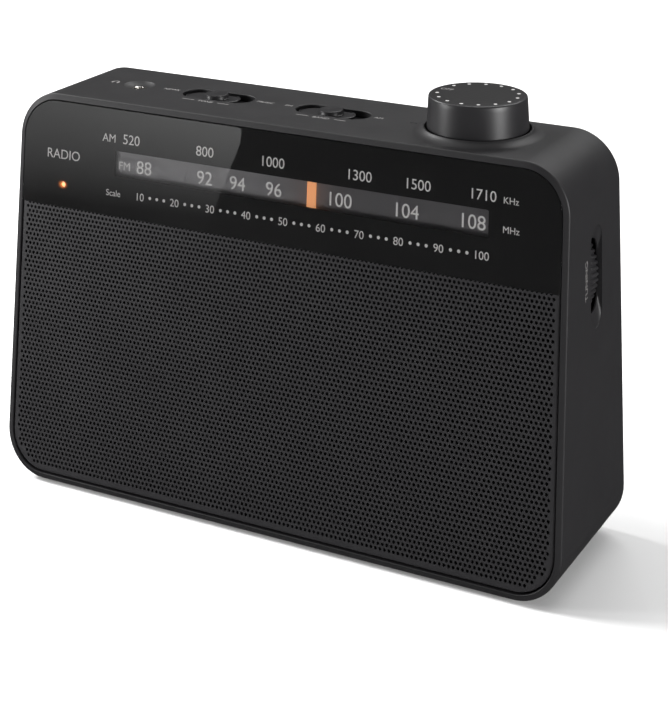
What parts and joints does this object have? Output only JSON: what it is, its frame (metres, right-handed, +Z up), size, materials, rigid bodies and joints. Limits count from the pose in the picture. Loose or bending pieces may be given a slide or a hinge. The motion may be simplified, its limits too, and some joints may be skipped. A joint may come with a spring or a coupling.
{
  "type": "tabletop radio",
  "caption": "Low black tabletop radio: leaning front with a long tuning dial over a perforated loudspeaker grille, controls on top, tuning wheel on the side, folding aerial behind.",
  "frame": {"origin": "on the table, under the middle of the radio", "axes": "+X along the front from left to right seen from the front, +Y from the front to the back, +Z up"},
  "size_m": [0.21, 0.061, 0.1472],
  "materials": {
    "case_black": "moulded with a fine satin grain",
    "lens_black": "clear polished front, printed black behind",
    "knob_black": "smooth satin",
    "inner_grey": "moulded",
    "strip_grey": "printed satin",
    "pointer_orange": "translucent, lit from behind",
    "led_orange": "clear dome",
    "steel": "zinc plated",
    "chrome": "polished plate",
    "white_nylon": "natural nylon",
    "cord_white": "braided cord",
    "copper": "enamelled copper wire",
    "board_green": "solder mask",
    "ferrite": "sintered",
    "paper": "pressed pulp",
    "rubber": "soft"
  },
  "bodies": {
    "case": {"aerial_bracket": "chrome", "band_switch": "steel", "battery_box": "inner_grey", "battery_bridge": "steel", "battery_contact_negative": "steel", "battery_contact_positive": "steel", "board_screw_1": "steel", "board_screw_2": "steel", "cabinet": "case_black", "cover_screw_1": "steel", "cover_screw_2": "steel", "cover_screw_3": "steel", "cover_screw_4": "steel", "dial_cord": "cord_white", "dial_lens": "lens_black", "dial_plate": "strip_grey", "ferrite_coil": "copper", "ferrite_holder": "inner_grey", "ferrite_rod": "ferrite", "foot_left_front": "rubber", "foot_left_rear": "rubber", "foot_right_front": "rubber", "foot_right_rear": "rubber", "front_frame": "inner_grey", "grille": "case_black", "headphone_socket": "inner_grey", "jack_bushing": "steel", "main_board": "board_green", "mains_inlet": "inner_grey", "power_led": "led_orange", "rear_cover": "case_black", "speaker_basket": "steel", "speaker_magnet": "ferrite", "speaker_screw_1": "steel", "speaker_screw_2": "steel", "speaker_screw_3": "steel", "speaker_screw_4": "steel", "speaker_surround": "rubber", "tone_switch": "steel", "transformer_coil": "copper", "transformer_core": "steel", "tuning_bracket": "steel", "tuning_capacitor": "inner_grey", "volume_potentiometer": "steel"},
    "volume_control": {"volume_knob": "knob_black", "volume_shaft": "steel"},
    "tone_control": {"tone_slider": "knob_black"},
    "band_control": {"band_slider": "knob_black"},
    "tuning_drive": {"tuning_wheel": "knob_black", "tuning_pulley": "inner_grey"},
    "capacitor_rotor": {"capacitor_gear": "white_nylon"},
    "idler": {"cord_idler": "white_nylon"},
    "pointer": {"dial_pointer": "pointer_orange"},
    "diaphragm": {"speaker_cone": "paper"},
    "door": {"battery_door": "case_black"},
    "aerial_mount": {"aerial_base": "chrome"},
    "aerial_1": {"aerial_section_1": "chrome"},
    "aerial_2": {"aerial_section_2": "chrome"},
    "aerial_3": {"aerial_section_3": "chrome"},
    "aerial_4": {"aerial_section_4": "chrome"}
  },
  "joints": [
    {"name": "volume_turn", "type": "hinge", "parent": "case", "child": "volume_control", "pos_m": [0.0632, 0.00331, 0.1417], "axis": [0, 0, -1], "range_deg": [0, 290]},
    {"name": "tone_slide", "type": "slide", "parent": "case", "child": "tone_control", "axis": [1, 0, 0], "range_m": [0, 0.0046]},
    {"name": "band_slide", "type": "slide", "parent": "case", "child": "band_control", "axis": [1, 0, 0], "range_m": [0, 0.0046]},
    {"name": "tuning_turn", "type": "hinge", "parent": "case", "child": "tuning_drive", "pos_m": [0.0827, 0.00211, 0.094], "axis": [0, 1, 0], "range_deg": [-214, 190]},
    {"name": "capacitor_turn", "type": "hinge", "parent": "case", "child": "capacitor_rotor", "pos_m": [0.05722, -0.00429, 0.094], "axis": [0, 1, 0], "range_deg": [-77, 87]},
    {"name": "idler_turn", "type": "hinge", "parent": "case", "child": "idler", "pos_m": [-0.074, -0.00999, 0.107], "axis": [0, 1, 0], "range_deg": [-810, 720]},
    {"name": "pointer_slide", "type": "slide", "parent": "case", "child": "pointer", "axis": [1, 0, 0], "range_m": [-0.0665, 0.0592]},
    {"name": "cone_travel", "type": "slide", "parent": "case", "child": "diaphragm", "axis": [0, -0.9974, 0.0717], "range_m": [-0.001, 0.001], "stiffness_N_per_m": 400},
    {"name": "battery_door_turn", "type": "hinge", "parent": "case", "child": "door", "pos_m": [0.0225, 0.02895, 0.01069], "axis": [-1, 0, 0], "range_deg": [0, 95]},
    {"name": "aerial_swivel", "type": "hinge", "parent": "case", "child": "aerial_mount", "pos_m": [0.084, 0.02731, 0.1227], "axis": [1, 0, 0], "range_deg": [0, 90]},
    {"name": "aerial_tilt", "type": "hinge", "parent": "aerial_mount", "child": "aerial_1", "pos_m": [0.074, 0.02731, 0.1227], "axis": [0, 0, -1], "range_deg": [0, 90]},
    {"name": "aerial_draw_1", "type": "slide", "parent": "aerial_1", "child": "aerial_2", "axis": [-1, 0, 0], "range_m": [0, 0.11]},
    {"name": "aerial_draw_2", "type": "slide", "parent": "aerial_2", "child": "aerial_3", "axis": [-1, 0, 0], "range_m": [0, 0.11]},
    {"name": "aerial_draw_3", "type": "slide", "parent": "aerial_3", "child": "aerial_4", "axis": [-1, 0, 0], "range_m": [0, 0.11]}
  ],
  "couplings": [
    {"joint": "pointer_slide", "follows": "tuning_turn", "m_per_rad": 0.0177},
    {"joint": "capacitor_turn", "follows": "tuning_turn", "ratio": -0.4},
    {"joint": "idler_turn", "follows": "tuning_turn", "ratio": 3.766}
  ]
}
